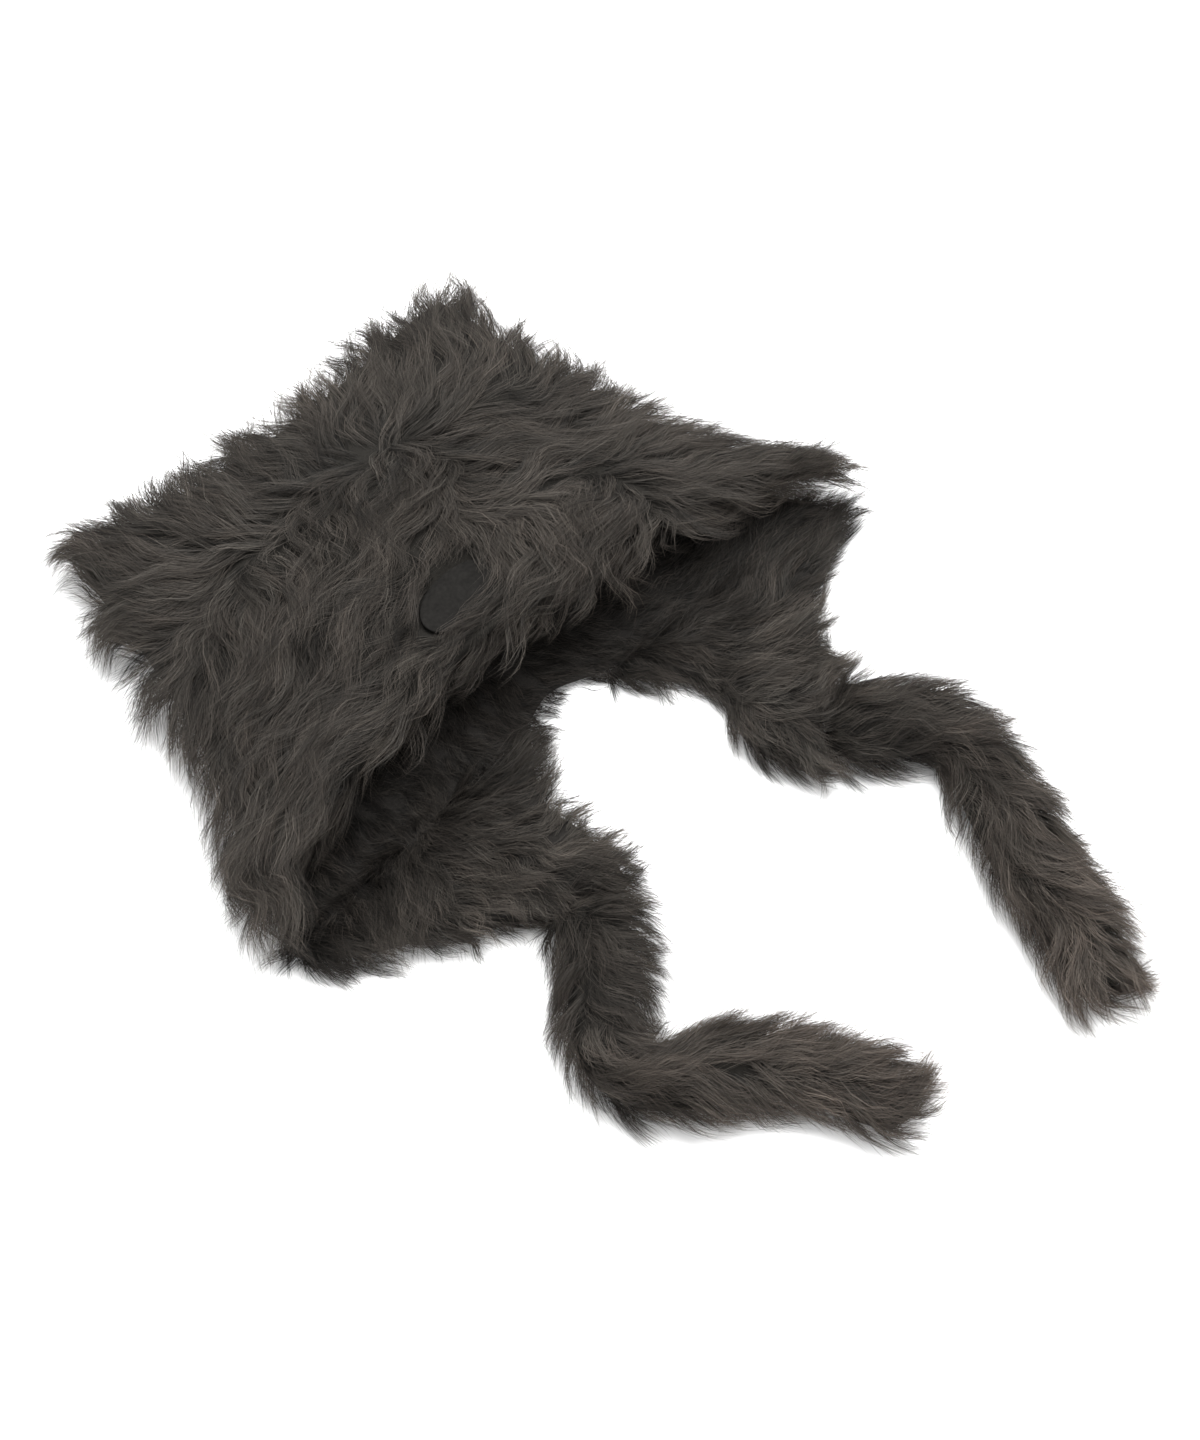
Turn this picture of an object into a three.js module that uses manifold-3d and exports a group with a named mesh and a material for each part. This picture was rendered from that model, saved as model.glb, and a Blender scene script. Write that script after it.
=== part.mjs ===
// Shaggy fur earflap hat lying on its back: two crown panels, two earflaps, two fur tails that tie under the
// chin, and an oval felt patch on the front. Millimetres, +Z up. It rests on the plane z = 0 with its head
// opening towards -Y. The origin is under the middle of the crown. Each panel is one body: its pile is a
// dense layer with raised locks of fur joined to it.

import * as THREE from 'three';
import { mergeVertices } from 'three/addons/utils/BufferGeometryUtils.js';
import Module from 'manifold-3d';

const wasm = await Module();
wasm.setup();

const GAP = 0.3; // clearance between neighbouring pieces

// Crown outline, to the dense part of the pile. The locks reach about 8 mm further.
const TOP_HALF_WIDTH = 100; // centre to each ear corner
const RIM_FLARE = 48; // how much further out each side is at the rim
const FLARE_POWER = 2.4;
const EAR_Y = 94;
const TOP_DIP = 12; // how far the top seam dips between the ear corners
const CORNER_ROUND = 6;
const CORNER_POWER = 8;
const FRONT_RIM_MIDDLE_Y = -59;
const FRONT_RIM_SIDE_Y = -83;
const BACK_RIM_MIDDLE_Y = -80;
const BACK_RIM_SIDE_Y = -94;

// Heights. The two crown panels meet at SEAM_Z along their sides and top.
const SEAM_Z = 14;
const HOLLOW_LIFT = 22; // how far the front panel stands off the seam, in the middle of the rim
const BACK_DIP = 5; // how far the back panel's inner face lies below the seam there
const PANEL_THICK = 8; // pile and backing at the seams
const PILE_BULGE = 5; // extra pile away from the seams
const EDGE_ROUND = 6; // how far the outline draws in at a rounded edge

// Folds that the front panel shows, each a soft ridge or hollow across the panel.
const FRONT_FOLDS = [
  { u: 0.0, v: 0.03, spreadU: 0.8, spreadV: 0.06, rise: 4 }, // roll along the rim
  { u: -0.05, v: 0.17, spreadU: 0.25, spreadV: 0.06, rise: -3 }, // hollow that holds the patch
  { u: -0.75, v: 0.85, spreadU: 0.2, spreadV: 0.22, rise: 4 }, // left ear
  { u: 0.75, v: 0.85, spreadU: 0.2, spreadV: 0.22, rise: 4 }, // right ear
  { u: 0.0, v: 0.85, spreadU: 0.3, spreadV: 0.2, rise: -3 }, // dip between the ears
  { u: -0.62, v: 0.42, spreadU: 0.1, spreadV: 0.25, rise: -3 }, // crease inside the left side
];

// How the pile lies on the front panel: where a stroke is, and the way its tips point, in degrees from +X.
const FRONT_STROKES = [
  { x: -92, y: 78, toward: 108 },
  { x: -45, y: 72, toward: 98 },
  { x: -5, y: 68, toward: 88 },
  { x: 35, y: 68, toward: 52 },
  { x: 85, y: 72, toward: 46 },
  { x: -100, y: 42, toward: 128 },
  { x: -48, y: 45, toward: 120 },
  { x: 45, y: 42, toward: 28 },
  { x: 95, y: 36, toward: 48 },
  { x: -98, y: 15, toward: 214 },
  { x: -60, y: 18, toward: 252 },
  { x: -22, y: 22, toward: 236 },
  { x: 18, y: 16, toward: 222 },
  { x: 58, y: 16, toward: 300 },
  { x: 98, y: 4, toward: 14 },
  { x: -112, y: -22, toward: 242 },
  { x: -70, y: -18, toward: 204 },
  { x: -25, y: -14, toward: 222 },
  { x: 42, y: -14, toward: 352 },
  { x: 92, y: -20, toward: 342 },
  { x: -120, y: -62, toward: 205 },
  { x: -70, y: -55, toward: 196 },
  { x: -15, y: -48, toward: 212 },
  { x: 25, y: -44, toward: 226 },
  { x: 62, y: -48, toward: 322 },
  { x: 118, y: -58, toward: 336 },
];

// Tails, as rows along the middle of each: where it runs, its half-width and its height off the surface.
const LEFT_TAIL = [
  { x: -53, y: -150, half: 20, high: 22 },
  { x: -64, y: -172, half: 17, high: 24 },
  { x: -79, y: -189, half: 17, high: 24 },
  { x: -88, y: -202, half: 16, high: 24 },
  { x: -87, y: -216, half: 16, high: 24 },
  { x: -76, y: -228, half: 16, high: 24 },
  { x: -58, y: -239, half: 16, high: 25 },
  { x: -41, y: -260, half: 16, high: 25 },
  { x: -32, y: -280, half: 15, high: 24 },
  { x: -27, y: -289, half: 12, high: 21 },
];
const RIGHT_TAIL = [
  { x: 67, y: -156, half: 23, high: 22 },
  { x: 79, y: -172, half: 21, high: 24 },
  { x: 91, y: -185, half: 18, high: 24 },
  { x: 94, y: -204, half: 16, high: 23 },
  { x: 84, y: -231, half: 18, high: 24 },
  { x: 75, y: -254, half: 19, high: 25 },
  { x: 67, y: -280, half: 17, high: 25 },
  { x: 60, y: -297, half: 15, high: 24 },
  { x: 57, y: -305, half: 12, high: 21 },
];

// Earflaps, as rows down each: its outer edge and its edge at the nape. The rim and the tail end them.
const LEFT_FLAP = [
  { outerX: -131, outerY: -110, napeX: -27, napeY: -101 },
  { outerX: -107, outerY: -123, napeX: -33, napeY: -115 },
  { outerX: -87, outerY: -135, napeX: -32, napeY: -134 },
];
const RIGHT_FLAP = [
  { outerX: 124, outerY: -104, napeX: 36, napeY: -99 },
  { outerX: 109, outerY: -116, napeX: 47, napeY: -116 },
  { outerX: 97, outerY: -128, napeX: 39, napeY: -145 },
];
const FLAP_START = { left: -14, right: 22 }; // where each flap's nape edge leaves the rim
const FLAP_OUTER_X = 143;

// Felt patch
const PATCH = { u: -0.06, v: 0.14, halfLong: 19.5, halfHigh: 12, thick: 1.5, turn: 0.1 };
const PATCH_SIDES = 14;

// Locks of fur. Pitch is how steeply one rises from its root, droop how far its tip then sinks, as a share of
// its length, and sunk how far inside the body its root starts.
const LOCKS = {
  field: { length: 38, width: 24, pitch: 0.4, droop: 0.2, sunk: 3 },
  frontEdge: { length: 16, width: 18, pitch: 0.12, droop: 0.12, sunk: 8 },
  backEdge: { length: 16, width: 17, pitch: -0.02, droop: 0.12, sunk: 8 },
  rim: { length: 17, width: 18, pitch: 0.05, droop: 0.18, sunk: 7 },
  patch: { length: 32, width: 15, pitch: 0.2, droop: 0.12, sunk: 4 },
  inside: { length: 20, width: 11, pitch: 0.38, droop: 0.24, sunk: 3 },
  flapEdge: { length: 16, width: 15, pitch: 0, droop: 0.08, sunk: 7 },
  flapFace: { length: 22, width: 12, pitch: 0.36, droop: 0.24, sunk: 3 },
  tail: { length: 26, width: 17, pitch: 0.3, droop: 0.15, sunk: 4 },
  tailEnd: { length: 19, width: 13, pitch: 0.02, droop: 0.1, sunk: 0 },
};
const FIELD_ROWS = 6;
const FIELD_COLUMNS = 8;
const EDGE_COUNT = 32; // round the sides and top of each crown panel
const RIM_COUNT = 16;
const INSIDE_COUNT = 12;
const FLAP_EDGE_COUNT = 7; // down each edge of a flap
const FLAP_FACE_ROWS = 3;
const FLAP_FACE_COLUMNS = 3;
const TAIL_RINGS = 9;
const TAIL_AROUND = 4;
const TAIL_END_COUNT = 4;
const LOCK_SIDES = 3;
const LOCK_FLATNESS = 0.55; // a lock's thickness as a share of its width
const SIZE_SPREAD = 0.15; // how much locks of one kind differ in length and width
const HEADING_SPREAD = 0.3; // how much their headings differ, in radians

// Locks of the rim's roll that lie across the patch's lower half: where each starts, and its heading in
// degrees.
const PATCH_LOCKS = [
  { u: 0.16, v: 0.12, toward: 206 },
  { u: 0.09, v: 0.05, toward: 200 },
  { u: -0.02, v: 0.03, toward: 196 },
];

const colours = { fur: 0x57524d, furUnder: 0x4a4642, furTail: 0x5c5550, felt: 0x33322f };

// A repeatable stand-in for chance, from 0 to 1, so that the locks vary in the same way at each build.
let chanceState = 7;
function chance() {
  chanceState = (chanceState * 16807) % 2147483647;
  return chanceState / 2147483647;
}

// A value near middle, by at most spread either way.
function near(middle, spread) {
  return middle + spread * (2 * chance() - 1);
}

const lerp = THREE.MathUtils.lerp;
const smooth = (t) => t * t * (3 - 2 * t);

// Solids and meshes
function solidOf(geometry) {
  const bare = geometry.clone();
  bare.deleteAttribute('normal');
  bare.deleteAttribute('uv');
  const merged = mergeVertices(bare, 1e-4);
  return new wasm.Manifold(
    new wasm.Mesh({
      numProp: 3,
      vertProperties: merged.getAttribute('position').array,
      triVerts: Uint32Array.from(merged.getIndex().array),
    }),
  );
}

function meshOf(name, solid, colour) {
  const { vertProperties, triVerts } = solid.getMesh();
  const geometry = new THREE.BufferGeometry();
  geometry.setAttribute('position', new THREE.BufferAttribute(Float32Array.from(vertProperties), 3));
  geometry.setIndex(new THREE.BufferAttribute(Uint32Array.from(triVerts), 1));
  geometry.computeVertexNormals();
  const material = new THREE.MeshStandardMaterial({ color: colour, roughness: 0.95, metalness: 0 });
  const mesh = new THREE.Mesh(geometry, material);
  mesh.name = name;
  return mesh;
}

// Moves each vertex of a geometry to where place puts it.
function shaped(geometry, place) {
  const position = geometry.getAttribute('position');
  const point = new THREE.Vector3();
  for (let i = 0; i < position.count; i += 1) {
    point.fromBufferAttribute(position, i);
    const { x, y, z } = place(point);
    position.setXYZ(i, x, y, z);
  }
  return geometry;
}

// A slab with a grid on its faces, bent by place(across, along, level), each from -1 or 0 to 1.
function slab(cellsAcross, cellsAlong, levels, place) {
  const box = new THREE.BoxGeometry(2, 1, 1, cellsAcross, cellsAlong, levels);
  return solidOf(shaped(box, (p) => place(p.x, p.y + 0.5, p.z + 0.5)));
}

// One lock of fur: a flattened cone that leaves its root along heading, rises by pitch and droops at its tip.
function lock(style, { root, heading, pitch = style.pitch, longest = Infinity, curl = 0 }) {
  const cone = new THREE.ConeGeometry(0.5, 1, LOCK_SIDES, 1);
  const length = Math.min(longest, style.length * near(1, SIZE_SPREAD));
  const width = style.width * near(1, SIZE_SPREAD);
  const forward = new THREE.Vector3(Math.cos(heading), Math.sin(heading), 0);
  const side = new THREE.Vector3(Math.sin(heading), -Math.cos(heading), 0);
  const placed = shaped(cone, (p) => {
    const share = p.y + 0.5;
    const along = share * length;
    const sink = style.droop * length * share * share;
    const point = root.clone();
    point.addScaledVector(forward, along * Math.cos(pitch));
    point.addScaledVector(side, p.x * width + curl * length * share * share);
    point.z += p.z * width * LOCK_FLATNESS + along * Math.sin(pitch) - sink;
    return point;
  });
  return solidOf(placed);
}

// A root that lies below a point of a face.
function rootUnder({ x, y, z }, style) {
  return new THREE.Vector3(x, y, z - style.sunk);
}

// A root that lies back from a point of an edge, against the heading.
function rootBehind({ x, y, z }, style, heading) {
  return new THREE.Vector3(x - style.sunk * Math.cos(heading), y - style.sunk * Math.sin(heading), z);
}

function joined(body, locks) {
  return locks.reduce((all, one) => all.add(one), body);
}

// A block with one face on the upright plane through a point, on the side that direction points to.
function blockBeyond(x, y, direction) {
  const reach = 400;
  const block = new THREE.BoxGeometry(reach, reach, reach);
  block.translate(reach / 2, 0, 0);
  block.rotateZ(Math.atan2(direction.y, direction.x));
  block.translate(x, y, 0);
  return solidOf(block);
}

function layerBetween(low, high) {
  const reach = 900;
  const block = new THREE.BoxGeometry(reach, reach, high - low);
  block.translate(0, 0, (low + high) / 2);
  return solidOf(block);
}

// Crown shape. u runs from -1 to 1 across the crown and v from 0 at the rim to 1 at the top seam.
function halfWidth(v) {
  return TOP_HALF_WIDTH + RIM_FLARE * (1 - v) ** FLARE_POWER;
}

function frontRimY(u) {
  return lerp(FRONT_RIM_MIDDLE_Y, FRONT_RIM_SIDE_Y, u * u);
}

function backRimY(u) {
  return lerp(BACK_RIM_MIDDLE_Y, BACK_RIM_SIDE_Y, Math.abs(u));
}

function topY(u) {
  return EAR_Y - TOP_DIP * (1 - u * u);
}

function crownPlan(u, v, rimY, drawIn = { side: 0, rim: 0 }) {
  const corner = CORNER_ROUND * (Math.abs(u) * v) ** CORNER_POWER;
  const low = rimY(u) + drawIn.rim;
  const high = topY(u) - drawIn.side - corner;
  return { x: u * (halfWidth(v) - drawIn.side - corner), y: lerp(low, high, v) };
}

function backTopZ(u, v) {
  return SEAM_Z - BACK_DIP * (1 - u * u) * (1 - v * v);
}

function frontUnderZ(u, v) {
  return SEAM_Z + GAP + HOLLOW_LIFT * (1 - u * u) * (1 - v * v);
}

function foldRise(u, v) {
  return FRONT_FOLDS.reduce((sum, fold) => {
    const du = (u - fold.u) / fold.spreadU;
    const dv = (v - fold.v) / fold.spreadV;
    return sum + fold.rise * Math.exp(-du * du - dv * dv);
  }, 0);
}

function frontThickness(u, v) {
  const inside = (1 - Math.abs(u) ** CORNER_POWER) * (1 - v ** CORNER_POWER);
  return PANEL_THICK + inside * (PILE_BULGE + foldRise(u, v));
}

function frontPoint(u, v, level) {
  const rimDraw = [4, 0, EDGE_ROUND / 2];
  const sideDraw = [0, 1, EDGE_ROUND];
  const step = Math.round(level * 2);
  const plan = crownPlan(u, v, frontRimY, { side: sideDraw[step], rim: rimDraw[step] });
  return { ...plan, z: frontUnderZ(u, v) + frontThickness(u, v) * level };
}

function backPoint(u, v, level) {
  const sideDraw = [EDGE_ROUND, 0, 0];
  const step = Math.round(level * 2);
  const plan = crownPlan(u, v, backRimY, { side: sideDraw[step], rim: 0 });
  return { ...plan, z: backTopZ(u, v) * level };
}

// The way the pile lies at a point of the front panel.
function frontHeading(x, y) {
  let east = 0;
  let north = 0;
  for (const stroke of FRONT_STROKES) {
    const distance = Math.hypot(x - stroke.x, y - stroke.y);
    const weight = 1 / (distance ** 3 + 500);
    const angle = THREE.MathUtils.degToRad(stroke.toward);
    east += weight * Math.cos(angle);
    north += weight * Math.sin(angle);
  }
  return Math.atan2(north, east);
}

// Locks over the front panel, on staggered rows, with none where the patch lies.
function frontFieldLocks() {
  const locks = [];
  for (let row = 0; row < FIELD_ROWS; row += 1) {
    const v = (row + 0.6) / FIELD_ROWS;
    for (let column = 0; column < FIELD_COLUMNS; column += 1) {
      const u = ((column + (row % 2) / 2 + 0.25) / FIELD_COLUMNS) * 1.8 - 0.9;
      const point = frontPoint(u, v, 1);
      const nearPatch = Math.hypot((u - PATCH.u) / 0.22, (v - PATCH.v) / 0.13) < 1;
      if (!nearPatch) {
        locks.push(
          lock(LOCKS.field, {
            root: rootUnder(point, LOCKS.field),
            heading: near(frontHeading(point.x, point.y), HEADING_SPREAD / 2),
            longest: 12 + topY(u) - point.y,
            curl: near(0, 0.12),
          }),
        );
      }
    }
  }
  return locks;
}

// The outward heading at a point of a panel's edge, from its two neighbours on the edge.
function outward(before, after) {
  return Math.atan2(before.x - after.x, after.y - before.y);
}

// Locks that stand out round the sides and top of a crown panel.
function edgeLocks(place, style) {
  const edge = (s) => {
    // s runs up one side, over the top and down the other
    if (s < 1) return place(1, s, 0.5);
    if (s < 2) return place(1 - 2 * (s - 1), 1, 0.5);
    return place(-1, 3 - s, 0.5);
  };
  const locks = [];
  for (let i = 0; i < EDGE_COUNT; i += 1) {
    const s = (3 * (i + 0.5)) / EDGE_COUNT;
    const square = outward(edge(Math.max(0, s - 0.02)), edge(Math.min(2.999, s + 0.02)));
    const root = rootBehind(edge(s), style, square);
    locks.push(lock(style, { root, heading: near(square, HEADING_SPREAD) }));
  }
  return locks;
}

// Locks that hang over the front panel's free rim, leaning the way the pile beside them lies.
function frontRimLocks() {
  const locks = [];
  for (let i = 0; i < RIM_COUNT; i += 1) {
    const u = ((i + 0.5) / RIM_COUNT) * 1.9 - 0.95;
    const point = frontPoint(u, 0, 0.5);
    const heading = -Math.PI / 2 + 0.5 * Math.cos(frontHeading(point.x, point.y));
    locks.push(lock(LOCKS.rim, { root: rootBehind(point, LOCKS.rim, -Math.PI / 2), heading }));
  }
  return locks;
}

// Felt patch and the flat seat that it lies in
function patchPlacing() {
  const level = 0.5; // it is sewn to the backing, well below the tips of the pile
  const at = (u, v) => new THREE.Vector3().copy(frontPoint(u, v, level));
  const centre = at(PATCH.u, PATCH.v);
  const across = at(PATCH.u + 0.08, PATCH.v).sub(centre);
  const up = at(PATCH.u, PATCH.v + 0.08).sub(centre);
  const normal = across.clone().cross(up).normalize();
  across.normalize().applyAxisAngle(normal, PATCH.turn);
  const basis = new THREE.Matrix4().makeBasis(across, normal.clone().cross(across), normal);
  return basis.setPosition(centre);
}

function oval(grow, low, depth) {
  const outline = new THREE.Shape();
  outline.absellipse(0, 0, PATCH.halfLong + grow, PATCH.halfHigh + grow, 0, 2 * Math.PI);
  const plate = new THREE.ExtrudeGeometry(outline, {
    depth,
    bevelEnabled: false,
    curveSegments: PATCH_SIDES,
  });
  plate.translate(0, 0, low);
  return solidOf(plate.applyMatrix4(patchPlacing()));
}

function frontPatch() {
  return oval(0, GAP, PATCH.thick);
}

function patchLocks() {
  return PATCH_LOCKS.map(({ u, v, toward }) =>
    lock(LOCKS.patch, {
      root: rootUnder(frontPoint(u, v, 1), LOCKS.patch),
      heading: THREE.MathUtils.degToRad(toward),
    }),
  );
}

// Crown panels
function crownFront() {
  const body = slab(16, 12, 2, frontPoint);
  const locks = [...edgeLocks(frontPoint, LOCKS.frontEdge), ...frontRimLocks(), ...frontFieldLocks()];
  const clearHeight = 40;
  const seated = joined(body, locks).subtract(oval(1, 0, clearHeight));
  return joined(seated, patchLocks())
    .subtract(oval(GAP, 0, PATCH.thick + 2 * GAP))
    .intersect(layerBetween(SEAM_Z + GAP, 200));
}

// The upright block that holds all of the crown above the back panel's rim line.
function aboveBackRim(clearance) {
  const reach = 300;
  const slope = BACK_RIM_SIDE_Y - BACK_RIM_MIDDLE_Y;
  const farY = BACK_RIM_MIDDLE_Y + (slope * reach) / halfWidth(0) - clearance;
  const outline = new THREE.Shape();
  outline.moveTo(-reach, farY);
  outline.lineTo(0, BACK_RIM_MIDDLE_Y - clearance);
  outline.lineTo(reach, farY);
  outline.lineTo(reach, reach);
  outline.lineTo(-reach, reach);
  const block = new THREE.ExtrudeGeometry(outline, { depth: 200, bevelEnabled: false });
  block.translate(0, 0, -50);
  return solidOf(block);
}

// Locks inside the opening, on the back panel just above its rim.
function insideLocks() {
  const locks = [];
  for (let i = 0; i < INSIDE_COUNT; i += 1) {
    const u = ((i + 0.5) / INSIDE_COUNT) * 1.5 - 0.75;
    const root = rootUnder(backPoint(u, 0.08, 1), LOCKS.inside);
    locks.push(lock(LOCKS.inside, { root, heading: -Math.PI / 2 + u }));
  }
  return locks;
}

function crownBack() {
  const body = slab(14, 8, 2, backPoint);
  const shaggy = joined(body, edgeLocks(backPoint, LOCKS.backEdge)).intersect(layerBetween(0, SEAM_Z));
  return joined(shaggy, insideLocks()).intersect(aboveBackRim(0));
}

// Tails
function tailLine(rows) {
  return new THREE.CatmullRomCurve3(
    rows.map(({ x, y }) => new THREE.Vector3(x, y, 0)),
    false,
    'centripetal',
  );
}

// A value of a tail's rows at a share of its length.
function tailSize(rows, share, name) {
  const place = Math.min(share * (rows.length - 1), rows.length - 1.001);
  const row = Math.floor(place);
  return lerp(rows[row][name], rows[row + 1][name], place - row);
}

function tailFrame(rows, share) {
  const line = tailLine(rows);
  const centre = line.getPoint(share);
  const forward = line.getTangent(share);
  return { centre, forward, side: new THREE.Vector3(-forward.y, forward.x, 0) };
}

// The skin of a tail: angle 0 is its side and a quarter turn its top. Its underside is flat where it lies.
function tailPoint(rows, share, angle, { fill = 1, grow = 0 } = {}) {
  const { centre, side } = tailFrame(rows, share);
  const half = (tailSize(rows, share, 'half') + grow) * fill;
  const high = tailSize(rows, share, 'high') + grow;
  const point = centre.clone().addScaledVector(side, half * Math.cos(angle));
  point.z = Math.max(0, high * (0.45 + 0.55 * fill * Math.sin(angle)));
  return point;
}

function tailBody(rows, grow = 0) {
  const sides = 10;
  const steps = 14;
  const tube = new THREE.CylinderGeometry(1, 1, 1, sides, steps);
  const place = (p) => {
    const share = 0.5 - p.y;
    const fill = Math.min(1, Math.hypot(p.x, p.z));
    const endRound = share > 0.999 ? 0.6 : 1;
    return tailPoint(rows, share, Math.atan2(p.z, p.x), { fill: fill * endRound, grow });
  };
  return solidOf(shaped(tube, place));
}

// Locks that lie along a tail from its start to its end, on staggered rings, and a tuft at its end.
function tailLocks(rows) {
  const locks = [];
  const add = (style, share, turn, lean) => {
    const fill = 1 - style.sunk / tailSize(rows, share, 'half');
    const root = tailPoint(rows, share, turn, { fill });
    const { forward, side } = tailFrame(rows, share);
    const way = forward.clone().addScaledVector(side, lean * Math.cos(turn));
    const heading = near(Math.atan2(way.y, way.x), HEADING_SPREAD / 2);
    locks.push(lock(style, { root, heading, pitch: style.pitch * Math.sin(turn) }));
  };
  for (let ring = 0; ring < TAIL_RINGS; ring += 1) {
    for (let i = 0; i < TAIL_AROUND; i += 1) {
      const share = (ring + 0.35) / (TAIL_RINGS + 0.2);
      const turn = Math.PI * ((i + (ring % 2) / 2 + 0.25) / TAIL_AROUND);
      add(LOCKS.tail, share, turn, 0.4);
    }
  }
  for (let i = 0; i < TAIL_END_COUNT; i += 1) {
    add(LOCKS.tailEnd, 0.96, (Math.PI * (i + 0.5)) / TAIL_END_COUNT, 0.5);
  }
  return locks;
}

function tailStart(rows, shift) {
  const { centre, forward } = tailFrame(rows, 0);
  return { x: centre.x + shift * forward.x, y: centre.y + shift * forward.y, forward };
}

function tail(rows) {
  const start = tailStart(rows, GAP);
  const flapSide = blockBeyond(start.x, start.y, start.forward.clone().negate());
  return joined(tailBody(rows), tailLocks(rows)).subtract(flapSide).intersect(layerBetween(0, 200));
}

// Earflaps. s runs from -1 at the edge towards +X to 1 at the other, t from 0 at the rim to 1 at the tail.
function flapEdges(side, rows, tailRows) {
  const sign = side === 'left' ? -1 : 1;
  const rimPoint = (x) => new THREE.Vector3(x, backRimY(x / halfWidth(0)) - GAP, 0);
  const { side: across } = tailFrame(tailRows, 0);
  const half = tailRows[0].half * sign * Math.sign(across.x);
  const end = tailStart(tailRows, 0);
  const tailOuter = new THREE.Vector3(end.x + across.x * half, end.y + across.y * half, 0);
  const tailNape = new THREE.Vector3(end.x - across.x * half, end.y - across.y * half, 0);
  const outer = rows.map((row) => new THREE.Vector3(row.outerX, row.outerY, 0));
  const nape = rows.map((row) => new THREE.Vector3(row.napeX, row.napeY, 0));
  const outerCurve = new THREE.CatmullRomCurve3([rimPoint(sign * FLAP_OUTER_X), ...outer, tailOuter]);
  const napeCurve = new THREE.CatmullRomCurve3([rimPoint(FLAP_START[side]), ...nape, tailNape]);
  return side === 'left' ? [napeCurve, outerCurve] : [outerCurve, napeCurve];
}

function flapPlace(side, rows, tailRows) {
  const [eastEdge, westEdge] = flapEdges(side, rows, tailRows);
  return (s, t, level) => {
    const a = eastEdge.getPoint(t);
    const b = westEdge.getPoint(t);
    const width = a.distanceTo(b);
    const drawIn = level > 0.25 && level < 0.75 ? 0 : EDGE_ROUND * (level < 0.5 ? 1 : 0.7);
    const share = 0.5 + 0.5 * s * (1 - (2 * drawIn * smooth(Math.min(1, t * 3))) / width);
    const point = a.clone().lerp(b, share);
    const rimZ = backTopZ(point.x / halfWidth(0), 0);
    return { x: point.x, y: point.y, z: level * lerp(rimZ, tailRows[0].high * 0.95, smooth(t)) };
  };
}

function flapLocks(place) {
  const locks = [];
  for (const s of [-1, 1]) {
    for (let i = 0; i < FLAP_EDGE_COUNT; i += 1) {
      const t = (i + 0.6) / FLAP_EDGE_COUNT;
      const here = place(s, t, 0.5);
      const inside = place(0, Math.max(0, t - 0.1), 0.5);
      const heading = Math.atan2(here.y - inside.y, here.x - inside.x);
      locks.push(lock(LOCKS.flapEdge, { root: rootBehind(here, LOCKS.flapEdge, heading), heading }));
    }
  }
  for (let row = 0; row < FLAP_FACE_ROWS; row += 1) {
    for (let column = 0; column < FLAP_FACE_COLUMNS; column += 1) {
      const s = -0.6 + (1.2 * column) / (FLAP_FACE_COLUMNS - 1);
      const root = rootUnder(place(s, 0.16 + 0.22 * row, 1), LOCKS.flapFace);
      locks.push(lock(LOCKS.flapFace, { root, heading: near(-Math.PI / 2 - s, HEADING_SPREAD / 2) }));
    }
  }
  return locks;
}

function earflap(side, rows, tailRows) {
  const place = flapPlace(side, rows, tailRows);
  const body = slab(8, 6, 2, place);
  const lockReach = 10;
  return joined(body, flapLocks(place))
    .intersect(layerBetween(0, 60))
    .subtract(aboveBackRim(GAP))
    .subtract(tailBody(tailRows, lockReach));
}

const hat = new THREE.Group();
hat.add(meshOf('crown_front', crownFront(), colours.fur));
hat.add(meshOf('crown_back', crownBack(), colours.furUnder));
hat.add(meshOf('earflap_left', earflap('left', LEFT_FLAP, LEFT_TAIL), colours.furUnder));
hat.add(meshOf('earflap_right', earflap('right', RIGHT_FLAP, RIGHT_TAIL), colours.furUnder));
hat.add(meshOf('tail_left', tail(LEFT_TAIL), colours.furTail));
hat.add(meshOf('tail_right', tail(RIGHT_TAIL), colours.furTail));
hat.add(meshOf('front_patch', frontPatch(), colours.felt));

export default hat;
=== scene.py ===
"""Shaggy fur earflap hat, lying on its back. Each piece has a dark undercoat, and its pile grows from that
in wavy locks of fine strands. An oval felt patch lies low on the crown's front, half under the pile."""

import math

import bmesh
import bpy
import numpy as np
from mathutils import Matrix, Vector


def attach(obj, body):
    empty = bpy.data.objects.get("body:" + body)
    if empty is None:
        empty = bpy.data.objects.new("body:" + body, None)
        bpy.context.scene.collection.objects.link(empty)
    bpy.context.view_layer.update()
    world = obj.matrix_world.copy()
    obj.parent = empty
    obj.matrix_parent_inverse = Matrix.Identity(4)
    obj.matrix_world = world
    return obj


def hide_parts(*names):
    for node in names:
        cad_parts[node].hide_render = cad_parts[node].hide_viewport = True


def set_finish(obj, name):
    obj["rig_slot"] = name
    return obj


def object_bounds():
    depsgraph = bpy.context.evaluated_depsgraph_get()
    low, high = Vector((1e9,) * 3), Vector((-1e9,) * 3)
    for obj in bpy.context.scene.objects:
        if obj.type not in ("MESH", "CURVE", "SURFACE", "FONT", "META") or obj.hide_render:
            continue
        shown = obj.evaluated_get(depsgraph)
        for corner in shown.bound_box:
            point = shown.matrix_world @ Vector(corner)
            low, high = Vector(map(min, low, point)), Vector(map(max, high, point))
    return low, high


bl_info = {
    "name": "Fur earflap hat",
    "version": (1, 0, 0),
    "blender": (4, 5, 0),
    "location": "3D View > Sidebar > Hat",
    "description": "Makes the fur and the felt patch of an earflap hat",
    "category": "Object",
}

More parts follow.
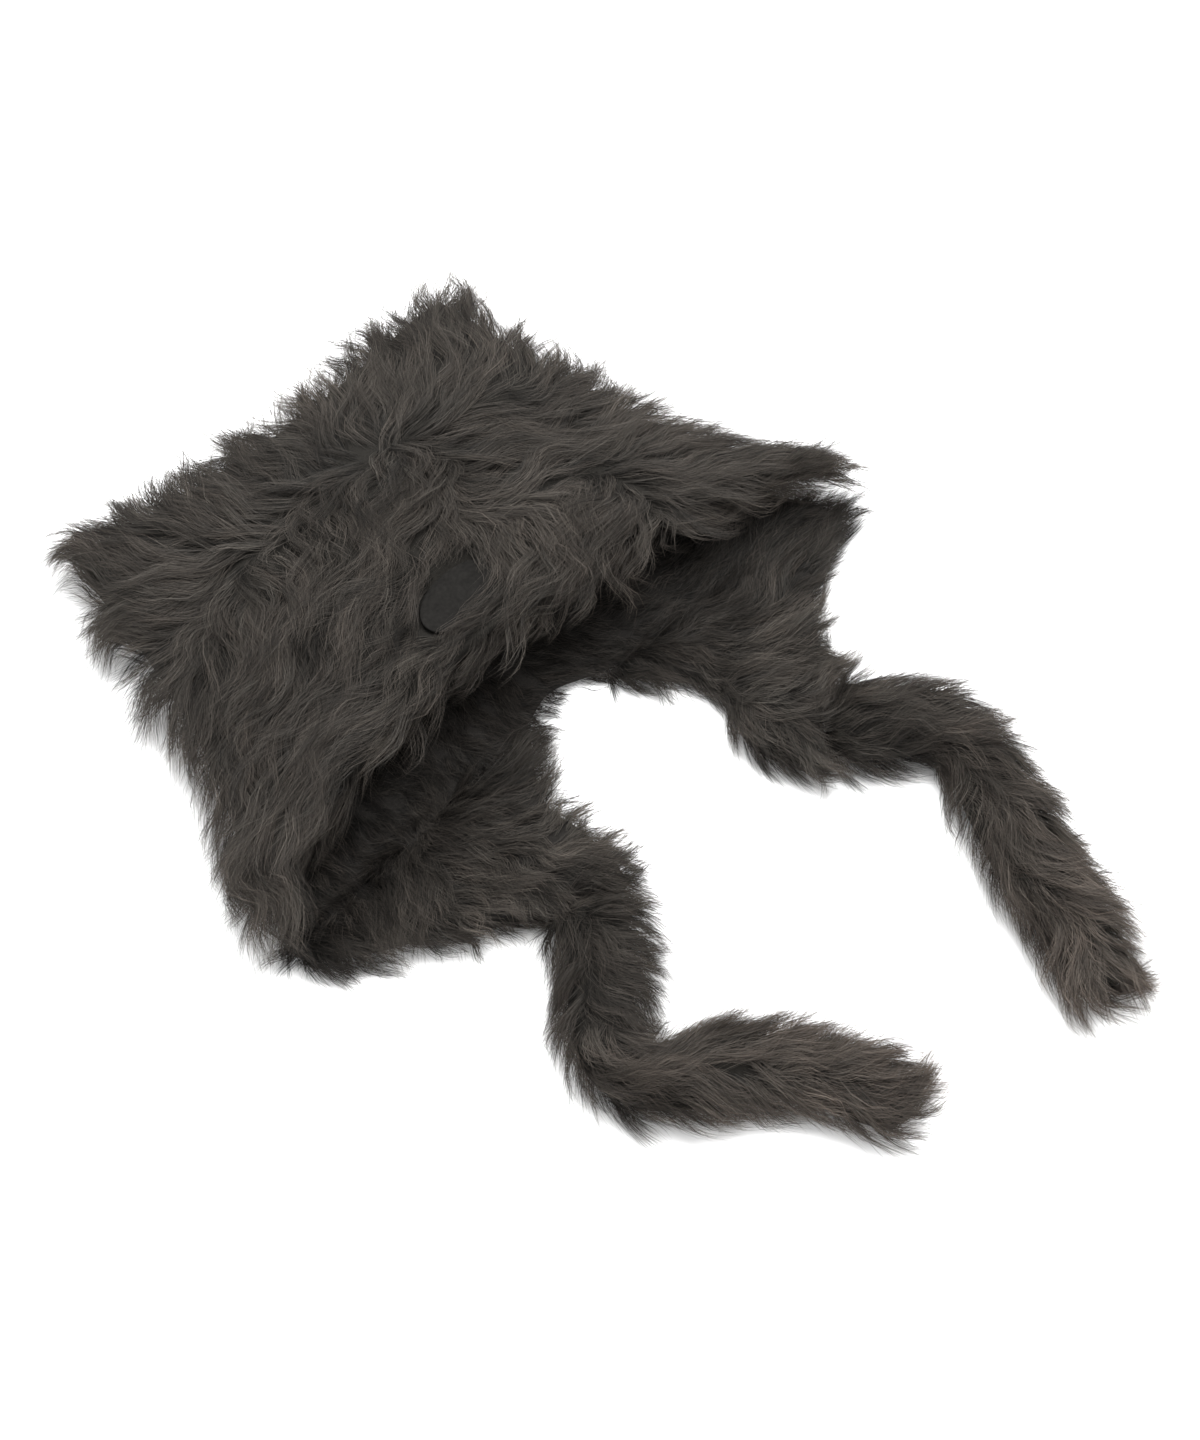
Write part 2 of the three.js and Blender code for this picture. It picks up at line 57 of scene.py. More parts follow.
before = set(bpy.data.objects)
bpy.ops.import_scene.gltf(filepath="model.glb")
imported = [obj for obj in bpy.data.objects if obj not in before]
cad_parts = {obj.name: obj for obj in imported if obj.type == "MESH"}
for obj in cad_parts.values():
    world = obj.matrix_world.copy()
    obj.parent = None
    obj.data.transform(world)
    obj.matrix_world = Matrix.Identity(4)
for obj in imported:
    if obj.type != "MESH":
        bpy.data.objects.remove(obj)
CAD_BOX = [list(corner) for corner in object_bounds()]
BODY = "root"

# Crown shape, in metres, as the solids have it
TOP_HALF_WIDTH = 0.100
RIM_FLARE = 0.048
FLARE_POWER = 2.4
EAR_Y = 0.094
TOP_DIP = 0.012
CORNER_ROUND = 0.006
CORNER_POWER = 8
FRONT_RIM_MIDDLE_Y = -0.059
FRONT_RIM_SIDE_Y = -0.083
BACK_RIM_MIDDLE_Y = -0.080
BACK_RIM_SIDE_Y = -0.094
SEAM_Z = 0.014
HOLLOW_LIFT = 0.022
BACK_DIP = 0.005
PANEL_THICK = 0.008
PILE_BULGE = 0.005
GAP = 0.0003

# Soft ridges and hollows across the front panel
FRONT_FOLDS = [
    {"u": 0.0, "v": 0.03, "spread_u": 0.8, "spread_v": 0.06, "rise": 0.004},
    {"u": -0.05, "v": 0.17, "spread_u": 0.25, "spread_v": 0.06, "rise": -0.003},
    {"u": -0.75, "v": 0.85, "spread_u": 0.2, "spread_v": 0.22, "rise": 0.004},
    {"u": 0.75, "v": 0.85, "spread_u": 0.2, "spread_v": 0.22, "rise": 0.004},
    {"u": 0.0, "v": 0.85, "spread_u": 0.3, "spread_v": 0.2, "rise": -0.003},
    {"u": -0.62, "v": 0.42, "spread_u": 0.1, "spread_v": 0.25, "rise": -0.003},
]

# Tails: the middle line, half-width and height of each
LEFT_TAIL = [
    {"x": -0.053, "y": -0.150, "half": 0.020, "high": 0.022},
    {"x": -0.064, "y": -0.172, "half": 0.017, "high": 0.024},
    {"x": -0.079, "y": -0.189, "half": 0.017, "high": 0.024},
    {"x": -0.088, "y": -0.202, "half": 0.016, "high": 0.024},
    {"x": -0.087, "y": -0.216, "half": 0.016, "high": 0.024},
    {"x": -0.076, "y": -0.228, "half": 0.016, "high": 0.024},
    {"x": -0.058, "y": -0.239, "half": 0.016, "high": 0.025},
    {"x": -0.041, "y": -0.260, "half": 0.016, "high": 0.025},
    {"x": -0.032, "y": -0.280, "half": 0.015, "high": 0.024},
    {"x": -0.027, "y": -0.289, "half": 0.012, "high": 0.021},
]
RIGHT_TAIL = [
    {"x": 0.067, "y": -0.156, "half": 0.023, "high": 0.022},
    {"x": 0.079, "y": -0.172, "half": 0.021, "high": 0.024},
    {"x": 0.091, "y": -0.185, "half": 0.018, "high": 0.024},
    {"x": 0.094, "y": -0.204, "half": 0.016, "high": 0.023},
    {"x": 0.084, "y": -0.231, "half": 0.018, "high": 0.024},
    {"x": 0.075, "y": -0.254, "half": 0.019, "high": 0.025},
    {"x": 0.067, "y": -0.280, "half": 0.017, "high": 0.025},
    {"x": 0.060, "y": -0.297, "half": 0.015, "high": 0.024},
    {"x": 0.057, "y": -0.305, "half": 0.012, "high": 0.021},
]

# Earflaps: rows down each, from the rim to the tail
LEFT_FLAP = [
    {"outer_x": -0.131, "outer_y": -0.110, "nape_x": -0.027, "nape_y": -0.101},
    {"outer_x": -0.107, "outer_y": -0.123, "nape_x": -0.033, "nape_y": -0.115},
    {"outer_x": -0.087, "outer_y": -0.135, "nape_x": -0.032, "nape_y": -0.134},
]
RIGHT_FLAP = [
    {"outer_x": 0.124, "outer_y": -0.104, "nape_x": 0.036, "nape_y": -0.099},
    {"outer_x": 0.109, "outer_y": -0.116, "nape_x": 0.047, "nape_y": -0.116},
    {"outer_x": 0.097, "outer_y": -0.128, "nape_x": 0.039, "nape_y": -0.145},
]
FLAP_START = {"left": -0.014, "right": 0.022}
FLAP_OUTER_X = 0.143

# Felt patch
PATCH = {"u": -0.06, "v": 0.14, "half_long": 0.0195, "half_high": 0.012, "thick": 0.0015, "turn": 0.1}

# How the pile lies on the front panel: where a stroke is, in metres, and the way its tips point, in degrees
# from +X
FRONT_STROKES = [
    {"x": -0.092, "y": 0.078, "toward": 108},
    {"x": -0.045, "y": 0.072, "toward": 98},
    {"x": -0.005, "y": 0.068, "toward": 88},
    {"x": 0.035, "y": 0.068, "toward": 52},
    {"x": 0.085, "y": 0.072, "toward": 46},
    {"x": -0.100, "y": 0.042, "toward": 128},
    {"x": -0.048, "y": 0.045, "toward": 120},
    {"x": 0.045, "y": 0.042, "toward": 28},
    {"x": 0.095, "y": 0.036, "toward": 48},
    {"x": -0.098, "y": 0.015, "toward": 214},
    {"x": -0.060, "y": 0.018, "toward": 252},
    {"x": -0.022, "y": 0.022, "toward": 236},
    {"x": 0.018, "y": 0.016, "toward": 222},
    {"x": 0.058, "y": 0.016, "toward": 300},
    {"x": 0.098, "y": 0.004, "toward": 14},
    {"x": -0.112, "y": -0.022, "toward": 242},
    {"x": -0.070, "y": -0.018, "toward": 204},
    {"x": -0.025, "y": -0.014, "toward": 222},
    {"x": 0.042, "y": -0.014, "toward": 352},
    {"x": 0.092, "y": -0.020, "toward": 342},
    {"x": -0.108, "y": 0.088, "toward": 160},
    {"x": -0.112, "y": 0.060, "toward": 182},
    {"x": -0.114, "y": 0.025, "toward": 192},
    {"x": -0.122, "y": -0.012, "toward": 206},
    {"x": -0.132, "y": -0.045, "toward": 200},
    {"x": 0.030, "y": 0.090, "toward": 92},
    {"x": 0.062, "y": 0.092, "toward": 84},
    {"x": 0.092, "y": 0.096, "toward": 58},
    {"x": -0.120, "y": -0.062, "toward": 200},
    {"x": -0.095, "y": -0.064, "toward": 192},
    {"x": -0.070, "y": -0.058, "toward": 188},
    {"x": -0.045, "y": -0.052, "toward": 190},
    {"x": -0.085, "y": -0.042, "toward": 200},
    {"x": -0.052, "y": -0.036, "toward": 202},
    {"x": -0.015, "y": -0.048, "toward": 206},
    {"x": 0.020, "y": -0.044, "toward": 210},
    {"x": 0.062, "y": -0.052, "toward": 214},
    {"x": 0.086, "y": -0.056, "toward": 335},
    {"x": 0.118, "y": -0.062, "toward": 338},
    {"x": 0.140, "y": -0.074, "toward": 315},
    {"x": -0.140, "y": -0.078, "toward": 248},
]

# The same for the inside of the back panel and the flaps
BACK_STROKES = [
    {"x": -0.120, "y": -0.095, "toward": 235},
    {"x": -0.090, "y": -0.105, "toward": 245},
    {"x": -0.060, "y": -0.100, "toward": 262},
    {"x": -0.028, "y": -0.105, "toward": 350},
    {"x": -0.030, "y": -0.125, "toward": 10},
    {"x": -0.060, "y": -0.125, "toward": 255},
    {"x": -0.078, "y": -0.140, "toward": 242},
    {"x": -0.038, "y": -0.145, "toward": 320},
    {"x": -0.060, "y": -0.070, "toward": 250},
    {"x": 0.005, "y": -0.075, "toward": 272},
    {"x": 0.060, "y": -0.075, "toward": 352},
    {"x": 0.110, "y": -0.080, "toward": 8},
    {"x": 0.138, "y": -0.092, "toward": 340},
    {"x": 0.090, "y": -0.100, "toward": 0},
    {"x": 0.042, "y": -0.105, "toward": 245},
    {"x": 0.062, "y": -0.122, "toward": 310},
    {"x": 0.040, "y": -0.148, "toward": 245},
    {"x": 0.090, "y": -0.138, "toward": 345},
]

# Places on the front panel where more locks grow, because the strokes part or the panel ends in a corner
DENSER = [
    {"x": 0.029, "y": 0.024, "radius": 0.022, "times": 2.4},
    {"x": 0.140, "y": -0.073, "radius": 0.017, "times": 6.0},
    {"x": -0.140, "y": -0.076, "radius": 0.017, "times": 4.0},
    {"x": -0.070, "y": 0.029, "radius": 0.018, "times": 2.0},
    {"x": 0.024, "y": -0.016, "radius": 0.018, "times": 2.0},
    {"x": 0.074, "y": -0.050, "radius": 0.020, "times": 2.4},
]

# Each coat of fur: how many locks it has, the tufts in a lock, the strands in a tuft and the places along
# a strand, the strands' length and how much shorter they are at edges, how steeply they leave the skin, how
# far they stand out at edges, the chance that a lock grows on a face that looks down, and how much the pile
# leans towards +X
COATS = {
    "front": {
        "locks": 2190, "tufts": 4, "strands": 8, "places": 5, "length": 0.038, "shorter": 0.25, "lift": 0.45,
        "edge": 0.25, "under": 0.02, "lean": 0.0,
    },
    "back": {
        "locks": 780, "tufts": 4, "strands": 8, "places": 4, "length": 0.018, "shorter": 0.0, "lift": 0.4,
        "edge": 0.2, "under": 0.06, "lean": 0.25,
    },
    "flap": {
        "locks": 480, "tufts": 4, "strands": 8, "places": 4, "length": 0.026, "shorter": 0.1, "lift": 0.45,
        "edge": 0.2, "under": 0.06, "lean": 0.25,
    },
    "tail": {
        "locks": 560, "tufts": 4, "strands": 8, "places": 4, "length": 0.032, "shorter": 0.1, "lift": 0.5,
        "edge": 0.18, "under": 0.2, "lean": 0.5,
    },
}
SEEDS = {"front": 11, "back": 12, "flap_left": 13, "flap_right": 14, "tail_left": 15, "tail_right": 16}

# Locks: their middle lines
GUIDE_STEPS = 6
LOCK_LENGTHS = (0.7, 1.15)  # least and most, as shares of the coat's length
LOCK_LIFTS = (0.6, 1.3)  # the same for the lift
LIFT_FALL = 2.2  # how quickly a lock lies down: the power of what is left of its length
TIP_SINK = 0.05  # how far the tips turn back towards the skin
LEAST_ALONG = 0.1  # of a step, squared, however steeply the lock stands
OWN_TURN = 0.11  # how far each lock turns by itself, in radians
DRIFT = 0.18  # how far the locks of a wide stretch turn together
DRIFT_WIDE = 0.060
RIPPLE = 0.15  # and those of a short one
RIPPLE_WIDE = 0.030
WAVE = 0.6  # how far each lock swings to and fro along its length
WAVE_TURNS = 5.5  # how much of a swing it makes, in radians
PHASE = 2.5  # how far its start differs from place to place
PHASE_WIDE = 0.040
OWN_PHASE = 0.4  # and from lock to lock

# Strands
LOCK_ROOT_SPREAD = 0.0021  # how far a lock's tufts are rooted from its middle
TUFT_ROOT_SPREAD = 0.0010  # how far a tuft's strands are rooted from its middle
LOCK_CLUMP = 0.4  # share of the first spread that is gone at the tips
TUFT_CLUMP = 0.5  # and of the second
TUFT_CLUMP_RISE = 0.7
LOOSE_AT_EDGES = 0.85  # share of this gathering that locks at edges lack
STRAY = 0.0015  # how far the tip of a strand strays from its tuft
STRAY_RISE = 1.5
STRAND_REACHES = (0.45, 1.0)  # least and most, as shares of the lock's length
STRAND_WIDTHS = (0.7, 1.3)  # as shares of the width that the settings give
STRAND_ROLL = 0.45  # how far a strand is rolled from lying flat, in radians
NARROWING = 0.75  # share of its width that a strand would lose by its tip
NARROWING_RISE = 1.5
SHORT = 0.55  # share of its length that is left to a strand that would hide the patch or reach too far
REACH = (0.0175, 0.0215, 0.0105)  # how far strands may go beyond the box of all the solids
FLOOR_CLEARANCE = 0.0004
FLOOR_HEAP = 0.002  # how far above that the lowest strands lie on each other
SORTING_WAY = (1.0, 1.618, 2.718)  # no two faces are equally far along it

# Tones: how bright strands are, and how brown, with painted shade in the head opening and partly painted
# light at the tail tips
STRETCH_SHADE = 0.12
STRETCH_WIDE = 0.03
LOCK_SHADE = 0.22
STRAND_SHADE = 0.4
DARKEST = 0.1
LOCK_WARMTH = 0.5
STRAND_WARMTH = 0.5
WARMEST = 1.5
INSIDE_PAINTED_SHADE = 0.5  # painted shade: how bright strands are deep in the head opening, under the front panel
FLAP_TONE = 1.15  # on the flaps
TAIL_TONE = 0.8  # where the tails start
TAIL_TONE_AND_LIGHT_RISE = 0.55  # and how much more it is at their tips, partly painted light through the thin tips
TAIL_WARMTH_AND_LIGHT = 0.8  # how brown they are at their tips, partly painted light through the thin tips


def lerp(a, b, t):
    return a + (b - a) * t


def smooth(t):
    return t * t * (3 - 2 * t)


def unit(vectors):
    return vectors / np.maximum(np.linalg.norm(vectors, axis=-1, keepdims=True), 1e-12)


def dot(a, b):
    return np.sum(a * b, axis=-1, keepdims=True)


# Crown shape: u runs from -1 to 1 across the crown, v from 0 at the rim to 1 at the top seam
def half_width(v):
    return TOP_HALF_WIDTH + RIM_FLARE * (1 - v) ** FLARE_POWER


def front_rim_y(u):
    return lerp(FRONT_RIM_MIDDLE_Y, FRONT_RIM_SIDE_Y, u * u)


def back_rim_y(u):
    return lerp(BACK_RIM_MIDDLE_Y, BACK_RIM_SIDE_Y, abs(u))


def crown_plan(u, v, rim_y, side_inset, rim_inset):
    corner = CORNER_ROUND * (abs(u) * v) ** CORNER_POWER
    low = rim_y + rim_inset
    high = EAR_Y - TOP_DIP * (1 - u * u) - side_inset - corner
    return u * (half_width(v) - side_inset - corner), lerp(low, high, v)


def back_top_z(u, v):
    return SEAM_Z - BACK_DIP * (1 - u * u) * (1 - v * v)


def front_under_z(u, v):
    return SEAM_Z + GAP + HOLLOW_LIFT * (1 - u * u) * (1 - v * v)


def front_thickness(u, v):
    folds = 0
    for fold in FRONT_FOLDS:
        du = (u - fold["u"]) / fold["spread_u"]
        dv = (v - fold["v"]) / fold["spread_v"]
        folds += fold["rise"] * math.exp(-du * du - dv * dv)
    inside = (1 - abs(u) ** CORNER_POWER) * (1 - v**CORNER_POWER)
    return PANEL_THICK + inside * (PILE_BULGE + folds)


def front_place(u, v, level, side_inset=0.0, rim_inset=0.0):
    """A point of the front panel: level 0 is the side towards the head and 1 the tips of the dense pile."""
    x, y = crown_plan(u, v, front_rim_y(u), side_inset, rim_inset)
    return Vector((x, y, front_under_z(u, v) + front_thickness(u, v) * level))


# Curves through rows of a table
def row_value(rows, share, name):
    """The value of a column at a share of the way down its rows, on a smooth curve through them."""
    place = min(share * (len(rows) - 1), len(rows) - 1.0001)
    i = int(place)
    t = place - i
    p0 = rows[max(i - 1, 0)][name]
    p1 = rows[i][name]
    p2 = rows[i + 1][name]
    p3 = rows[min(i + 2, len(rows) - 1)][name]
    a = 2 * p1
    b = p2 - p0
    c = 2 * p0 - 5 * p1 + 4 * p2 - p3
    d = 3 * p1 - p0 - 3 * p2 + p3
    return 0.5 * (a + b * t + c * t * t + d * t**3)


def tail_frame(rows, share):
    step = 0.004
    centre = Vector((row_value(rows, share, "x"), row_value(rows, share, "y"), 0))
    low = max(share - step, 0)
    high = min(share + step, 1)
    forward = Vector(
        (
            row_value(rows, high, "x") - row_value(rows, low, "x"),
            row_value(rows, high, "y") - row_value(rows, low, "y"),
            0,
        )
    ).normalized()
    return centre, forward, Vector((-forward.y, forward.x, 0))


def flap_edges(side, rows, tail):
    """The rows of a flap with its corners at the rim and at the tail added: one table for each edge."""
    sign = -1 if side == "left" else 1
    centre, _, across = tail_frame(tail, 0)
    half = tail[0]["half"] * sign * math.copysign(1, across.x)
    starts = {"outer": sign * FLAP_OUTER_X, "nape": FLAP_START[side]}
    ends = {"outer": centre + across * half, "nape": centre - across * half}
    edges = {}
    for name, start_x in starts.items():
        first = {"x": start_x, "y": back_rim_y(start_x / half_width(0)) - GAP}
        middle = [{"x": row[name + "_x"], "y": row[name + "_y"]} for row in rows]
        last = {"x": ends[name].x, "y": ends[name].y}
        edges[name] = [first, *middle, last]
    return edges["outer"], edges["nape"]


# Undercoats
def closed(shape):
    """Turns the faces of a closed shape outwards."""
    bmesh.ops.recalc_face_normals(shape, faces=shape.faces[:])
    if shape.calc_volume(signed=True) < 0:
        bmesh.ops.reverse_faces(shape, faces=shape.faces[:])
    return shape


def finished(name, shape, material, slot):
    mesh = bpy.data.meshes.new(name)
    for face in shape.faces:
        face.smooth = True
    shape.to_mesh(mesh)
    shape.free()
    return declared(bpy.data.objects.new(name, mesh), material, slot)


def declared(piece, material, slot):
    bpy.context.scene.collection.objects.link(piece)
    piece.data.materials.append(material)
    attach(piece, BODY)
    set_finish(piece, slot)
    return piece


def rounded(piece, levels):
    modifier = piece.modifiers.new("Rounding", "SUBSURF")
    modifier.levels = levels
    modifier.render_levels = levels
    return piece


def slab(cells_across, cells_along, place):
    """A closed slab over a grid. place(across, along, level) says where a vertex goes; across runs from -1
    to 1, along and level from 0 to 1."""
    shape = bmesh.new()
    bmesh.ops.create_grid(shape, x_segments=cells_across, y_segments=cells_along, size=1)
    bmesh.ops.solidify(shape, geom=shape.faces[:], thickness=1)
    for vertex in shape.verts:
        across, height, level = vertex.co
        vertex.co = place(across, (height + 1) / 2, min(abs(level), 1))
    return closed(shape)


def front_undercoat(material):
    left_inset = 0.0005
    right_inset = 0.003
    top_inset = 0.001
    low_level = 0.12
    high_level = 0.72
    patch_level = 0.36
    hollow_u = 0.22
    hollow_v = 0.14
    hollow_steep = 1.8

    def place(u, v, level):
        du = (u - PATCH["u"]) / hollow_u
        dv = (v - PATCH["v"]) / hollow_v
        hollow = smooth(min(1, hollow_steep * max(0, 1 - du * du - dv * dv)))
        high = lerp(high_level, patch_level, hollow)
        inset = lerp(lerp(left_inset, right_inset, max(0, u)), top_inset, v**6)
        return front_place(u, v, lerp(low_level, high, level), inset, inset)

    return rounded(finished("undercoat_front", slab(40, 26, place), material, "fur_front"), 1)


def back_undercoat(material):
    inset = 0.006
    notch_inset = 0.006
    notch_u = 0.03
    notch_spread = 0.10
    low_z = 0.0012
    pile = 0.0025

    def place(u, v, level):
        notch = (u - notch_u) / notch_spread
        x, y = crown_plan(u, v, back_rim_y(u), inset, GAP + notch_inset * math.exp(-notch * notch))
        return Vector((x, y, lerp(low_z, back_top_z(u, v) - pile, level)))

    return rounded(finished("undercoat_back", slab(40, 22, place), material, "fur_back"), 1)


def flap_undercoat(side, rows, tail, material):
    outer_inset = 0.007
    inset_rate = 3  # the outer inset is whole at a third of the way down
    nape_inset = 0.001
    low_z = 0.0012
    rim_pile = 0.0025
    pile = 0.0035
    outer, nape = flap_edges(side, rows, tail)

    def place(across, t, level):
        a = Vector((row_value(outer, t, "x"), row_value(outer, t, "y"), 0))
        b = Vector((row_value(nape, t, "x"), row_value(nape, t, "y"), 0))
        wide = (b - a).length
        left = smooth(min(1, t * inset_rate)) * outer_inset / wide
        point = a.lerp(b, lerp(left, 1 - nape_inset / wide, (across + 1) / 2))
        rim_z = back_top_z(point.x / half_width(0), 0) - rim_pile
        point.z = lerp(low_z, lerp(rim_z, tail[0]["high"] - pile, smooth(t)), level)
        return point

    return rounded(finished(f"undercoat_flap_{side}", slab(14, 12, place), material, "fur_back"), 1)


def tail_undercoat(side, rows, material):
    core_share = 0.71  # of the tail's half-width
    core_low = 0.0015
    pile = 0.003
    first_share = 0.005  # of the tail's line, where the core starts
    last_share = 0.985
    round_end = 0.05
    shape = bmesh.new()
    bmesh.ops.create_uvsphere(shape, u_segments=16, v_segments=48, radius=1)
    for vertex in shape.verts:
        share = math.acos(max(-1, min(1, vertex.co.z))) / math.pi
        turn = math.atan2(vertex.co.y, vertex.co.x)
        from_end = min(share, 1 - share) / round_end
        fill = math.sqrt(max(0, 1 - (1 - min(from_end, 1)) ** 2))
        centre, _, across = tail_frame(rows, lerp(first_share, last_share, share))
        half = row_value(rows, share, "half") * core_share * fill
        top = row_value(rows, share, "high") - pile
        middle = (core_low + top) / 2
        vertex.co = centre + across * (half * math.cos(turn))
        vertex.co.z = middle + (top - core_low) / 2 * fill * math.sin(turn)
    return rounded(finished(f"undercoat_tail_{side}", closed(shape), material, "fur_tail"), 1)


# How the pile lies
def combed(strokes):
    """The field of the way the tips point, from a table of strokes, as a function of positions."""
    places = np.array([[row["x"], row["y"]] for row in strokes])
    angles = np.radians([row["toward"] for row in strokes])
    ways = np.stack([np.cos(angles), np.sin(angles)], -1)
    softness = 0.008

    def field(points):
        apart = np.linalg.norm(points[:, None, :2] - places[None], axis=-1)
        weights = 1 / (apart**3 + softness**3)
        flat = weights @ ways
        return unit(np.concatenate([flat, np.zeros((len(points), 1))], -1))

    return field


class TailLine:
    """The middle line of a tail as arrays, for its field and its tone."""

    def __init__(self, rows):
        steps = 160
        frames = [tail_frame(rows, i / steps) for i in range(steps + 1)]
        self.centres = np.array([list(centre) for centre, _, _ in frames])
        self.forwards = np.array([list(forward) for _, forward, _ in frames])
        self.acrosses = np.array([list(across) for _, _, across in frames])

    def nearest(self, points):
        apart = (points * [1, 1, 0])[:, None] - self.centres[None]
        return np.argmin(np.linalg.norm(apart, axis=-1), axis=1)

    def lay(self, points):
        """Along the tail towards its tip, leaning away from its middle line."""
        flare = 0.6
        core_half = 0.015
        most = 1.2
        nearest = self.nearest(points)
        away = dot(points - self.centres[nearest], self.acrosses[nearest]) / core_half
        return unit(self.forwards[nearest] + flare * np.clip(away, -most, most) * self.acrosses[nearest])

    def tone(self, points):
        """Brighter and browner towards the tip: partly the fur's own colour, partly painted light through
        the thin tips.
        """
        share = self.nearest(points) / (len(self.centres) - 1)
        return TAIL_TONE + TAIL_TONE_AND_LIGHT_RISE * share, TAIL_WARMTH_AND_LIGHT * share


class Waves:
    """Smooth noise over positions, as a sum of waves in random directions."""

    count = 6
    slowest = 0.6
    quickest = 1.5

    def __init__(self, chance, length):
        self.ways = unit(chance.normal(size=(self.count, 3))) * (2 * math.pi / length)
        self.ways *= chance.uniform(self.slowest, self.quickest, (self.count, 1))
        self.phases = chance.uniform(0, 2 * math.pi, self.count)

    def at(self, points):
        waves = np.sin(points @ self.ways.T + self.phases)
        return waves.sum(-1, keepdims=True) / math.sqrt(self.count / 2)


# Fur
def skin_of(piece):
    """The corners and the corner normals of every triangle of a rounded piece, two for each of its
    four-sided faces. Their order follows from where they are, because their order in the mesh can change
    from one run to the next."""
    evaluated = piece.evaluated_get(bpy.context.evaluated_depsgraph_get())
    mesh = evaluated.to_mesh()
    points = np.empty(len(mesh.vertices) * 3)
    mesh.vertices.foreach_get("co", points)
    points = points.reshape(-1, 3)
    normals = np.empty(len(mesh.vertices) * 3)
    mesh.vertices.foreach_get("normal", normals)
    normals = normals.reshape(-1, 3)
    faces = np.empty(len(mesh.loops), int)
    mesh.loops.foreach_get("vertex_index", faces)
    faces = faces.reshape(-1, 4)
    evaluated.to_mesh_clear()
    place = points @ SORTING_WAY
    first = np.argmin(place[faces], axis=1)[:, None]
    faces = np.take_along_axis(faces, (first + np.arange(4)) % 4, axis=1)
    faces = faces[np.argsort(place[faces].sum(1))]
    triangles = faces[:, [[0, 1, 2], [0, 2, 3]]].reshape(-1, 3)
    return points[triangles], normals[triangles]


def scatter(skin, count, chance, keep):
    """Random roots on a skin, with their normals. keep(points, normals) gives how densely they lie at each
    place."""
    corners, normals = skin
    areas = np.linalg.norm(np.cross(corners[:, 1] - corners[:, 0], corners[:, 2] - corners[:, 0]), axis=-1)
    middles = corners.mean(1)
    weights = areas * keep(middles, unit(normals.mean(1)))
    faces = chance.choice(len(areas), count, p=weights / weights.sum())
    a, b = chance.random((2, count, 1))
    over = a + b > 1
    a = np.where(over, 1 - a, a)
    b = np.where(over, 1 - b, b)
    shares = np.stack([1 - a - b, a, b], 1)
    return (corners[faces] * shares).sum(1), unit((normals[faces] * shares).sum(1))


def guide_lines(roots, normals, coat, lay, chance):
    """The middle line of each lock: it rises from the skin, turns to lie the way of the field, and winds
    along with the locks near it."""
    count = len(roots)
    drift = Waves(chance, DRIFT_WIDE)
    ripple = Waves(chance, RIPPLE_WIDE)
    edge = 1 - np.abs(normals[:, 2:3])
    length = coat["length"] * chance.uniform(*LOCK_LENGTHS, (count, 1)) * (1 - coat["shorter"] * edge)
    own = chance.normal(0, OWN_TURN, (count, 1))
    phase = PHASE * Waves(chance, PHASE_WIDE).at(roots) + chance.normal(0, OWN_PHASE, (count, 1))
    lift = coat["lift"] * chance.uniform(*LOCK_LIFTS, (count, 1))
    points = [roots]
    for step in range(GUIDE_STEPS):
        share = (step + 0.5) / GUIDE_STEPS
        turn = own + DRIFT * drift.at(points[-1]) + RIPPLE * ripple.at(points[-1])
        turn += WAVE * np.sin(phase + WAVE_TURNS * share)
        way = lay(points[-1]) + np.array([coat["lean"], 0, 0])
        way = way * np.cos(turn) + np.cross(normals, way) * np.sin(turn)
        way = unit(way - normals * dot(way, normals))
        rise = lift * (1 - share) ** LIFT_FALL + coat["edge"] * edge - TIP_SINK * share
        stride = unit(way * np.sqrt(np.maximum(LEAST_ALONG, 1 - rise**2)) + normals * rise)
        points.append(points[-1] + stride * length / GUIDE_STEPS)
    return np.stack(points, 1)


def strand_lines(guides, normals, coat, chance):
    """The strands of every lock, and the normal of the skin at the root of each. Towards the tips, the tufts
    draw in to the middle of their lock, and the strands to the middle of their tuft."""
    per_lock = coat["tufts"] * coat["strands"]
    count = len(guides) * per_lock
    up = np.repeat(normals, per_lock, 0)
    ahead = unit(guides[:, -1] - guides[:, 0])
    side = np.repeat(unit(np.cross(normals, ahead)), per_lock, 0)
    front = np.cross(side, up)

    def spread(size, repeats):
        some = np.repeat(chance.normal(0, size, (count // repeats, 2)), repeats, 0)
        return some[:, :1] * side + some[:, 1:] * front

    looser = 1 - LOOSE_AT_EDGES * (1 - np.abs(up[:, 2:3]))
    tuft_at = spread(LOCK_ROOT_SPREAD, coat["strands"])
    strand_at = spread(TUFT_ROOT_SPREAD, 1)
    stray = chance.normal(0, STRAY, (count, 3))
    reach = chance.uniform(*STRAND_REACHES, (count, 1))
    lines = np.repeat(guides, per_lock, 0)
    points = []
    for share in np.linspace(0, 1, coat["places"]):
        place = share * reach * GUIDE_STEPS
        below = np.minimum(place.astype(int), GUIDE_STEPS - 1)
        along = np.take_along_axis(lines, below[..., None], 1)[:, 0]
        beyond = np.take_along_axis(lines, below[..., None] + 1, 1)[:, 0]
        point = lerp(along, beyond, place - below)
        point = point + tuft_at * (1 - LOCK_CLUMP * looser * share)
        point = point + strand_at * (1 - TUFT_CLUMP * looser * share**TUFT_CLUMP_RISE)
        points.append(point + stray * share**STRAY_RISE)
    points = np.stack(points, 1)
    resting = FLOOR_CLEARANCE + FLOOR_HEAP * chance.random((count, 1))
    points[..., 2] = np.maximum(points[..., 2], resting)
    return points, up


